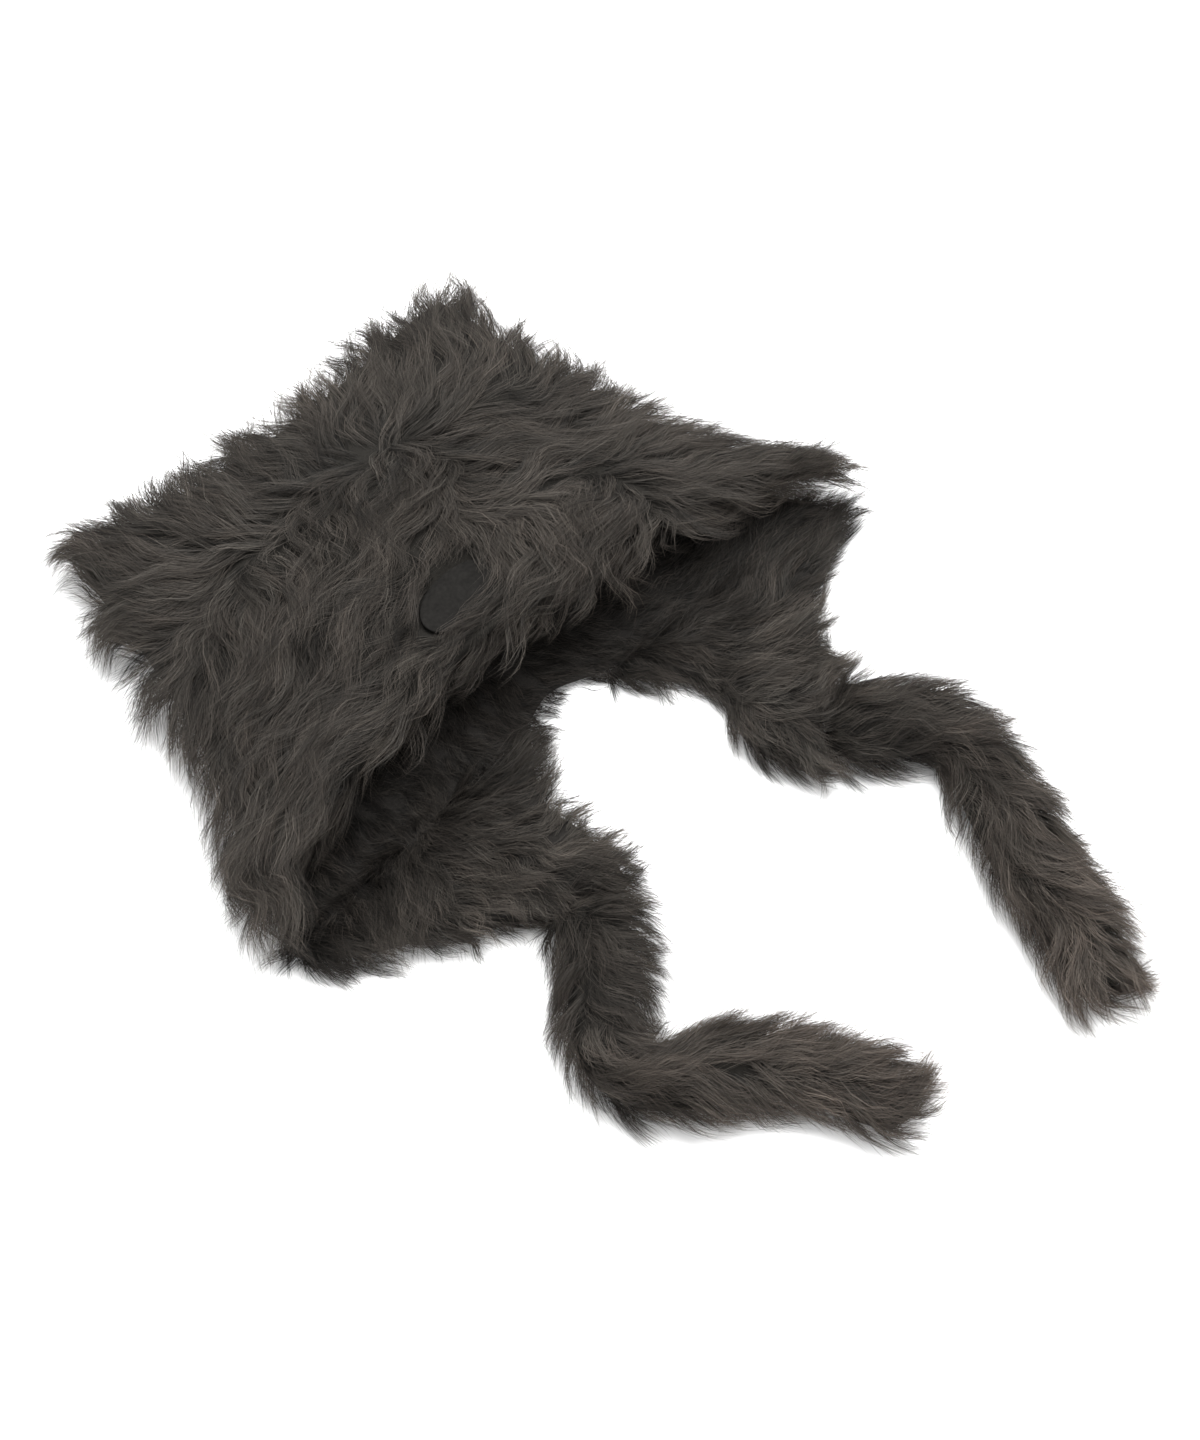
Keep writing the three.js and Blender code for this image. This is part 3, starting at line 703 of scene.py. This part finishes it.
def ribbons(points, up, width, chance):
    """A ribbon along each strand, which narrows to a point: two corners at each place along it and one at
    the tip."""
    count, places, _ = points.shape
    shares = np.linspace(0, 1, places)
    ahead = unit(np.gradient(points, axis=1))
    roll = chance.normal(0, STRAND_ROLL, (count, 1, 1))
    flat = unit(np.cross(ahead, up[:, None]))
    facing = np.cross(flat, ahead)
    flat = flat * np.cos(roll) + facing * np.sin(roll)
    widths = width * chance.uniform(*STRAND_WIDTHS, (count, 1))
    halves = widths * (1 - NARROWING * shares**NARROWING_RISE) / 2
    halves[:, -1] = 0
    sides = flat * halves[..., None]
    return np.stack([points - sides, points + sides], 2).reshape(count, 2 * places, 3)[:, :-1]


def fur_mesh(name, strands, tints):
    """One mesh of many ribbons. Each corner stores how far along its ribbon it is."""
    count, corners, _ = strands.shape
    steps = np.arange(corners - 2)
    strip = np.stack([steps, steps + 1 + steps % 2, steps + 2 - steps % 2], -1)
    faces = np.arange(count)[:, None, None] * corners + strip
    mesh = bpy.data.meshes.new(name)
    mesh.vertices.add(count * corners)
    mesh.vertices.foreach_set("co", strands.ravel())
    mesh.loops.add(faces.size)
    mesh.loops.foreach_set("vertex_index", faces.ravel())
    mesh.polygons.add(faces.size // 3)
    mesh.polygons.foreach_set("loop_start", np.arange(0, faces.size, 3))
    mesh.update(calc_edges=True)
    along = np.repeat(np.linspace(0, 1, corners // 2 + 1), 2)[:corners]
    values = {"along": np.tile(along, count), "shade": np.repeat(tints[:, 0], corners)}
    values["warmth"] = np.repeat(tints[:, 1], corners)
    for title, numbers in values.items():
        attribute = mesh.attributes.new(title, "FLOAT", "POINT")
        attribute.data.foreach_set("value", numbers.astype(np.float32))
    return mesh


def grow(names, base, coat, lay, keep, clear, tone, finish, seed):
    """Grows a coat on an undercoat. names maps each fur piece's name to the test for the roots that it
    takes. tone(points) gives how bright and how brown the strands are that are rooted there."""
    chance = np.random.default_rng(seed)
    settings = bpy.context.scene.hat_fur
    roots, normals = scatter(skin_of(base), coat["locks"], chance, keep)
    guides = guide_lines(roots, normals, coat, lay, chance)
    points, up = strand_lines(guides, normals, coat, chance)
    per_lock = coat["tufts"] * coat["strands"]
    bright, brown = tone(roots)
    lock_shade = 1 + STRETCH_SHADE * Waves(chance, STRETCH_WIDE).at(roots)[:, 0]
    lock_shade = lock_shade + chance.normal(0, LOCK_SHADE, len(roots))
    shade = np.repeat(lock_shade * bright, per_lock) * (1 + chance.normal(0, STRAND_SHADE, len(points)))
    warmth = np.repeat(chance.random(len(roots)) * LOCK_WARMTH + brown, per_lock)
    warmth = warmth + STRAND_WARMTH * chance.random(len(points))
    tints = np.stack([np.maximum(shade, DARKEST), np.minimum(warmth, WARMEST)], -1)
    shown = shortened(points, clear)
    shown &= shortened(points, within_reach)
    strands = ribbons(points, up, settings.strand_width, chance)
    for name, takes in names.items():
        chosen = shown & takes(points[:, 0])
        mesh = fur_mesh(name, strands[chosen], tints[chosen])
        declared(bpy.data.objects.new(name, mesh), finish, base["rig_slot"])


def shortened(points, fits):
    """Shortens the strands that don't fit, in place, and tells which ones fit now."""
    long = ~fits(points)
    points[long] = points[long, :1] + SHORT * (points[long] - points[long, :1])
    return fits(points)


def within_reach(points):
    """True for the strands that stay near the solids."""
    low = np.array(CAD_BOX[0]) - REACH
    high = np.array(CAD_BOX[1]) + REACH
    return ((points > low) & (points < high)).all((1, 2))


def everywhere(points):
    return np.ones(len(points), bool)


def even_tone(points):
    return np.ones(len(points)), np.zeros(len(points))


def painted_shade_inside(points):
    """Painted shade: darker towards the head opening, under the front panel's rim."""
    fade = 0.04
    darkest_part = 0.4  # of the fade
    outside = front_rim_y(points[:, 0] / half_width(0)) - points[:, 1]
    share = smooth(np.clip(outside / fade - darkest_part, 0, 1))
    return lerp(INSIDE_PAINTED_SHADE, FLAP_TONE, share), np.zeros(len(points))


# Materials
class Value:
    """A number socket of a material, for use in expressions."""

    def __init__(self, finish, socket):
        self.finish = finish
        self.socket = socket

    def made(self, operation, first, second):
        node = self.finish.node("ShaderNodeMath", {"operation": operation}, {0: first, 1: second})
        return Value(self.finish, node.outputs[0])

    def __add__(self, other):
        return self.made("ADD", self, other)

    def __radd__(self, other):
        return self.made("ADD", other, self)

    def __sub__(self, other):
        return self.made("SUBTRACT", self, other)

    def __rsub__(self, other):
        return self.made("SUBTRACT", other, self)

    def __mul__(self, other):
        return self.made("MULTIPLY", self, other)

    def __rmul__(self, other):
        return self.made("MULTIPLY", other, self)

    def __pow__(self, other):
        return self.made("POWER", self, other)


class Finish:
    """A material while its nodes are made."""

    def __init__(self, name):
        self.material = bpy.data.materials.new(name)
        self.material.use_nodes = True
        self.tree = self.material.node_tree
        self.tree.nodes.clear()

    def node(self, kind, settings, inputs):
        """Adds a node. The settings are set first; inputs maps a socket's name or number to a value or a
        link."""
        node = self.tree.nodes.new(kind)
        for name, value in settings.items():
            setattr(node, name, value)
        for name, value in inputs.items():
            socket = node.inputs[name]
            if isinstance(value, Value):
                self.tree.links.new(value.socket, socket)
            elif isinstance(value, bpy.types.NodeSocket):
                self.tree.links.new(value, socket)
            else:
                socket.default_value = value
        return node

    def attribute(self, name):
        node = self.node("ShaderNodeAttribute", {"attribute_name": name}, {})
        return Value(self, node.outputs["Fac"])

    def noise(self, where, scale, detail):
        node = self.node("ShaderNodeTexNoise", {}, {"Vector": where, "Scale": scale, "Detail": detail})
        return Value(self, node.outputs[0])

    def mixed(self, share, first, second):
        """A colour between two others."""
        settings = {"data_type": "RGBA"}
        node = self.node("ShaderNodeMix", settings, {0: share, 6: first, 7: second})
        return node.outputs[2]

    def scaled(self, colour, amount):
        """A colour made brighter or darker by a number."""
        node = self.node("ShaderNodeVectorMath", {"operation": "SCALE"}, {"Vector": colour, "Scale": amount})
        return node.outputs[0]

    def object_place(self):
        return self.node("ShaderNodeTexCoord", {}, {}).outputs["Object"]

    def bumped(self, height, strength, distance):
        inputs = {"Strength": strength, "Distance": distance, "Height": height}
        return self.node("ShaderNodeBump", {}, inputs).outputs[0]

    def shader(self, inputs):
        return self.node("ShaderNodeBsdfPrincipled", {}, inputs).outputs[0]

    def done(self, shader):
        """The material, with the shader as its surface."""
        self.node("ShaderNodeOutputMaterial", {}, {"Surface": shader})
        return self.material


def colour4(colour):
    return (*colour, 1.0)


def strand_finish(name, root, tip, warm):
    finish = Finish(name)
    along = finish.attribute("along")
    shade = finish.attribute("shade")
    warmth = finish.attribute("warmth")
    # Darker towards the roots: partly the fur's own colour, partly painted shade deep in the pile
    colour = finish.mixed(along**0.5, colour4(root), colour4(tip))
    # Browner towards the tips: strands differ in hue at random, and on the tails this is partly painted
    # light through the thin tips
    colour = finish.mixed(0.45 * warmth * along, colour, colour4(warm))
    colour = finish.scaled(colour, shade)
    hair = finish.shader({"Base Color": colour, "Roughness": 0.6, "Specular IOR Level": 0.2})
    glow = finish.node("ShaderNodeBsdfTranslucent", {}, {"Color": colour}).outputs[0]
    both = finish.node("ShaderNodeMixShader", {}, {0: 0.5, 1: hair, 2: glow})
    return finish.done(both.outputs[0])


def undercoat_finish(name, colour):
    finish = Finish(name)
    where = finish.object_place()
    fibres = finish.noise(where, 900.0, 3.0)
    patches = finish.noise(where, 60.0, 2.0)
    tone = finish.scaled(colour, 0.5 + 0.6 * fibres + 0.4 * patches)
    bumps = finish.bumped(fibres, 0.8, 0.001)
    inputs = {"Base Color": tone, "Roughness": 0.95, "Specular IOR Level": 0.1, "Normal": bumps}
    return finish.done(finish.shader(inputs))


def felt_finish(name, colour):
    finish = Finish(name)
    where = finish.object_place()
    fibres = finish.noise(where, 700.0, 4.0)
    patches = finish.noise(where, 220.0, 2.0)
    tone = finish.scaled(colour, 0.1 + 1.1 * fibres + 0.7 * patches)
    bumps = finish.bumped(fibres, 0.5, 0.0003)
    inputs = {"Base Color": tone, "Roughness": 0.9, "Specular IOR Level": 0.05, "Normal": bumps}
    return finish.done(finish.shader(inputs))


def plain_finish(name, colour, roughness):
    finish = Finish(name)
    return finish.done(finish.shader({"Base Color": colour4(colour), "Roughness": roughness}))


# Felt patch
def patch_frame():
    """The matrix that puts the patch's own plane on the backing of the front panel."""
    step = 0.08
    level = 0.5
    centre = front_place(PATCH["u"], PATCH["v"], level)
    across = (front_place(PATCH["u"] + step, PATCH["v"], level) - centre).normalized()
    up = front_place(PATCH["u"], PATCH["v"] + step, level) - centre
    normal = across.cross(up).normalized()
    across = Matrix.Rotation(PATCH["turn"], 3, normal) @ across
    rotation = Matrix((across, normal.cross(across), normal)).transposed().to_4x4()
    return Matrix.Translation(centre) @ rotation


def patch_piece(material):
    round_off = 0.0004
    shape = bmesh.new()
    bmesh.ops.create_cone(shape, cap_ends=True, segments=72, radius1=1, radius2=1, depth=1)
    size = Matrix.Diagonal((PATCH["half_long"], PATCH["half_high"], PATCH["thick"], 1))
    lift = Matrix.Translation((0, 0, GAP + PATCH["thick"] / 2))
    bmesh.ops.transform(shape, matrix=patch_frame() @ lift @ size, verts=shape.verts[:])
    rims = [edge for edge in shape.edges if any(len(face.verts) > 4 for face in edge.link_faces)]
    bmesh.ops.bevel(shape, geom=rims, offset=round_off, segments=3, profile=0.5, affect="EDGES", material=-1)
    return finished("felt_patch", closed(shape), material, "felt")


def clear_of_patch(points):
    """True for the strands that leave the upper left part of the patch in view."""
    margin = 0.0005
    slant = 0.6
    lowest = -0.1
    inverse = np.array(patch_frame().inverted())
    local = points @ inverse[:3, :3].T + inverse[:3, 3]
    across = local[..., 0] / (PATCH["half_long"] + margin)
    up = local[..., 1] / (PATCH["half_high"] + margin)
    inside = across**2 + up**2 < 1
    in_view = up - slant * across > lowest
    return ~(inside & in_view).any(1)


# Settings that a user would change
class HatFurSettings(bpy.types.PropertyGroup):
    strand_width: bpy.props.FloatProperty(
        name="Strand width",
        description="Width of a strand of fur at its root",
        default=0.00018,
        unit="LENGTH",
    )
    # Roots darker than tips: partly the fur's own colour, partly painted shade deep in the pile
    root_colour: bpy.props.FloatVectorProperty(
        name="Roots",
        description="Colour of the fur at its roots",
        default=(0.018, 0.0165, 0.0145),
        subtype="COLOR",
    )
    tip_colour: bpy.props.FloatVectorProperty(
        name="Tips",
        description="Colour of the fur at its tips",
        default=(0.060, 0.055, 0.048),
        subtype="COLOR",
    )
    # The browner strands: hue that differs at random, and on the tail tips partly painted light
    warm_colour: bpy.props.FloatVectorProperty(
        name="Warm strands",
        description="Colour of the browner strands",
        default=(0.090, 0.066, 0.053),
        subtype="COLOR",
    )
    # The undercoat is dark partly as painted shade in the gaps between locks
    undercoat_colour: bpy.props.FloatVectorProperty(
        name="Undercoat",
        description="Colour between the locks",
        default=(0.012, 0.011, 0.0095),
        subtype="COLOR",
    )
    # A darker copy of the undercoat colour: painted shade on the undercoat of the back and the flaps
    shaded_inside_colour: bpy.props.FloatVectorProperty(
        name="Inside",
        description="Colour between the locks of the back",
        default=(0.011, 0.010, 0.009),
        subtype="COLOR",
    )
    felt_colour: bpy.props.FloatVectorProperty(
        name="Felt",
        description="Colour of the patch",
        default=(0.0085, 0.0080, 0.0074),
        subtype="COLOR",
    )


class HatStageSettings(bpy.types.PropertyGroup):
    view_turn: bpy.props.FloatProperty(
        name="View turn",
        description="How far the camera is turned round the hat towards +X, in degrees",
        default=-43.5,
    )
    view_height: bpy.props.FloatProperty(
        name="View height",
        description="Angle of the camera above the floor, in degrees",
        default=57.3,
    )
    view_distance: bpy.props.FloatProperty(
        name="View distance",
        description="Camera to the point it looks at",
        default=1.2256,
        unit="LENGTH",
    )
    view_angle: bpy.props.FloatProperty(
        name="Field of view",
        description="Angle that the picture's long side takes in, in degrees",
        default=25.0,
    )
    view_target: bpy.props.FloatVectorProperty(
        name="View target",
        description="The point the camera looks at",
        default=(0.010, -0.0944, 0.0),
        unit="LENGTH",
    )
    floor_colour: bpy.props.FloatVectorProperty(
        name="Floor",
        description="Colour of the floor",
        default=(0.92, 0.92, 0.92),
        subtype="COLOR",
    )
    sky_strength: bpy.props.FloatProperty(
        name="Surrounding light",
        description="Strength of the light from all round",
        default=1.4,
    )
    key_power: bpy.props.FloatProperty(
        name="Main light",
        description="Power of the lamp above the hat, in watts",
        default=58.0,
    )


def strand_material(name):
    settings = bpy.context.scene.hat_fur
    found = bpy.data.materials.get(name)
    return found or strand_finish(name, settings.root_colour, settings.tip_colour, settings.warm_colour)


def undercoat_material(name, colour):
    return bpy.data.materials.get(name) or undercoat_finish(name, colour)


# Operators
class HAT_OT_crown_front(bpy.types.Operator):
    """Makes the front panel of the crown"""

    bl_idname = "hat.crown_front"
    bl_label = "Crown front"

    def execute(self, context):
        base = front_undercoat(undercoat_material("undercoat", context.scene.hat_fur.undercoat_colour))
        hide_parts("crown_front")
        coat = COATS["front"]
        hem = 0.03
        edge_x = 0.088
        edge_y = 0.072
        at_edge = 1.5
        on_steep_edge = 2.4
        steep = 0.7
        looks_down = -0.2
        under_rim = 0.8
        far_under = 0.2 * coat["under"]

        def keep(points, normals):
            near_rim = points[:, 1] < front_rim_y(points[:, 0] / half_width(0)) + hem
            near_edge = (np.abs(points[:, 0]) > edge_x) | (points[:, 1] > edge_y)
            above = np.where(near_edge, np.where(normals[:, 2] < steep, on_steep_edge, at_edge), 1.0)
            for place in DENSER:
                near = np.hypot(points[:, 0] - place["x"], points[:, 1] - place["y"]) < place["radius"]
                above = np.where(near, place["times"], above)
            below = np.where(near_rim, under_rim, far_under)
            return np.where(normals[:, 2] < looks_down, below, above)

        third = 0.042
        names = {
            "fur_front_left": lambda roots: roots[:, 0] < -third,
            "fur_front_middle": lambda roots: np.abs(roots[:, 0]) <= third,
            "fur_front_right": lambda roots: roots[:, 0] > third,
        }
        lay = combed(FRONT_STROKES)
        seed = SEEDS["front"]
        grow(names, base, coat, lay, keep, clear_of_patch, even_tone, strand_material("fur"), seed)
        return {"FINISHED"}


class HAT_OT_crown_back(bpy.types.Operator):
    """Makes the back panel of the crown, with the pile that shows inside the opening"""

    bl_idname = "hat.crown_back"
    bl_label = "Crown back"

    def execute(self, context):
        # the undercoat takes the darker copy of its colour, as painted shade
        base = back_undercoat(undercoat_material("undercoat painted shade", context.scene.hat_fur.shaded_inside_colour))
        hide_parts("crown_back")
        coat = COATS["back"]
        seen_from_rim = 0.05
        unseen = 0.03
        hem = 0.012
        in_hem = 2.5
        steep = 0.5

        def keep(points, normals):
            inwards = points[:, 1] - back_rim_y(points[:, 0] / half_width(0))
            above = np.where(inwards > seen_from_rim, unseen, np.where(inwards < hem, in_hem, 1.0))
            above = np.where(normals[:, 2] > steep, above, 1.0)
            return np.where(normals[:, 2] < -steep, coat["under"], above)

        names = {"fur_back": everywhere}
        lay = combed(BACK_STROKES)
        seed = SEEDS["back"]
        # the pile gets painted shade towards the head opening
        grow(names, base, coat, lay, keep, everywhere, painted_shade_inside, strand_material("fur"), seed)
        return {"FINISHED"}


class HAT_OT_earflaps(bpy.types.Operator):
    """Makes both earflaps"""

    bl_idname = "hat.earflaps"
    bl_label = "Earflaps"

    def execute(self, context):
        coat = COATS["flap"]
        hem = 0.014
        in_hem = 2.2
        looks_down = -0.5

        def keep(points, normals):
            from_rim = back_rim_y(points[:, 0] / half_width(0)) - points[:, 1]
            above = np.where(from_rim < hem, in_hem, 1.0)
            return np.where(normals[:, 2] < looks_down, coat["under"], above)

        sides = {"left": (LEFT_FLAP, LEFT_TAIL), "right": (RIGHT_FLAP, RIGHT_TAIL)}
        for side, (rows, tail) in sides.items():
            # the undercoat takes the darker copy of its colour, as painted shade
            material = undercoat_material("undercoat painted shade", context.scene.hat_fur.shaded_inside_colour)
            base = flap_undercoat(side, rows, tail, material)
            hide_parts(f"earflap_{side}")
            lay = combed(BACK_STROKES)
            names = {f"fur_flap_{side}": everywhere}
            seed = SEEDS[f"flap_{side}"]
            # the pile gets painted shade towards the head opening
            grow(names, base, coat, lay, keep, everywhere, painted_shade_inside, strand_material("fur"), seed)
        return {"FINISHED"}


class HAT_OT_tails(bpy.types.Operator):
    """Makes both fur tails"""

    bl_idname = "hat.tails"
    bl_label = "Tails"

    def execute(self, context):
        coat = COATS["tail"]
        looks_down = -0.5

        def keep(points, normals):
            return np.where(normals[:, 2] < looks_down, coat["under"], 1.0)

        for side, rows in (("left", LEFT_TAIL), ("right", RIGHT_TAIL)):
            material = undercoat_material("undercoat", context.scene.hat_fur.undercoat_colour)
            base = tail_undercoat(side, rows, material)
            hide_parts(f"tail_{side}")
            line = TailLine(rows)
            names = {f"fur_tail_{side}": everywhere}
            seed = SEEDS[f"tail_{side}"]
            grow(names, base, coat, line.lay, keep, everywhere, line.tone, strand_material("fur"), seed)
        return {"FINISHED"}


class HAT_OT_patch(bpy.types.Operator):
    """Makes the bare felt patch low on the front"""

    bl_idname = "hat.patch"
    bl_label = "Felt patch"

    def execute(self, context):
        piece = patch_piece(felt_finish("felt", context.scene.hat_fur.felt_colour))
        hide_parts("front_patch")
        return {"FINISHED"}


class HAT_OT_stage(bpy.types.Operator):
    """Makes the floor, the light and the camera"""

    bl_idname = "hat.stage"
    bl_label = "Stage"

    def execute(self, context):
        settings = context.scene.hat_stage
        self.floor(settings)
        self.light(context, settings)
        self.camera(context, settings)
        return {"FINISHED"}

    def floor(self, settings):
        half_size = 6.0
        shape = bmesh.new()
        bmesh.ops.create_grid(shape, x_segments=1, y_segments=1, size=half_size)
        mesh = bpy.data.meshes.new("floor")
        shape.to_mesh(mesh)
        shape.free()
        floor = bpy.data.objects.new("floor", mesh)
        mesh.materials.append(plain_finish("floor", settings.floor_colour, 0.9))
        bpy.context.scene.collection.objects.link(floor)

    def light(self, context, settings):
        lamp_size = 1.2
        lamp_place = (0.2, 0.0, 1.6)
        world = bpy.data.worlds.new("surroundings")
        context.scene.world = world
        world.use_nodes = True
        world.node_tree.nodes["Background"].inputs["Color"].default_value = (1, 1, 1, 1)
        world.node_tree.nodes["Background"].inputs["Strength"].default_value = settings.sky_strength
        lamp = bpy.data.lights.new("main light", "AREA")
        lamp.shape = "DISK"
        lamp.size = lamp_size
        lamp.energy = settings.key_power
        holder = bpy.data.objects.new("main light", lamp)
        holder.location = lamp_place
        holder.rotation_euler = (-holder.location).to_track_quat("-Z", "Y").to_euler()
        context.scene.collection.objects.link(holder)

    def camera(self, context, settings):
        lens = bpy.data.cameras.new("camera")
        lens.sensor_width = 36.0
        lens.lens = lens.sensor_width / 2 / math.tan(math.radians(settings.view_angle) / 2)
        turn = math.radians(settings.view_turn)
        height = math.radians(settings.view_height)
        level = math.cos(height)
        back = Vector((math.sin(turn) * level, -math.cos(turn) * level, math.sin(height)))
        holder = bpy.data.objects.new("camera", lens)
        holder.location = Vector(settings.view_target) + back * settings.view_distance
        holder.rotation_euler = (-back).to_track_quat("-Z", "Y").to_euler()
        context.scene.collection.objects.link(holder)
        context.scene.camera = holder
        context.scene.view_settings.view_transform = "Standard"


class HAT_PT_panel(bpy.types.Panel):
    """Lists the pieces of the hat"""

    bl_idname = "HAT_PT_panel"
    bl_label = "Earflap hat"
    bl_space_type = "VIEW_3D"
    bl_region_type = "UI"
    bl_category = "Hat"

    def draw(self, context):
        for operator in OPERATORS:
            self.layout.operator(operator.bl_idname)
        for settings in (context.scene.hat_fur, context.scene.hat_stage):
            for name in settings.__annotations__:
                self.layout.prop(settings, name)


OPERATORS = (
    HAT_OT_stage,
    HAT_OT_crown_front,
    HAT_OT_crown_back,
    HAT_OT_earflaps,
    HAT_OT_tails,
    HAT_OT_patch,
)
CLASSES = (HatFurSettings, HatStageSettings, *OPERATORS, HAT_PT_panel)


def register():
    for item in CLASSES:
        bpy.utils.register_class(item)
    bpy.types.Scene.hat_fur = bpy.props.PointerProperty(type=HatFurSettings)
    bpy.types.Scene.hat_stage = bpy.props.PointerProperty(type=HatStageSettings)


def unregister():
    del bpy.types.Scene.hat_stage
    del bpy.types.Scene.hat_fur
    for item in reversed(CLASSES):
        bpy.utils.unregister_class(item)


def main():
    register()
    bpy.ops.hat.stage()
    bpy.ops.hat.crown_front()
    bpy.ops.hat.crown_back()
    bpy.ops.hat.earflaps()
    bpy.ops.hat.tails()
    bpy.ops.hat.patch()


if __name__ == "__main__":
    main()
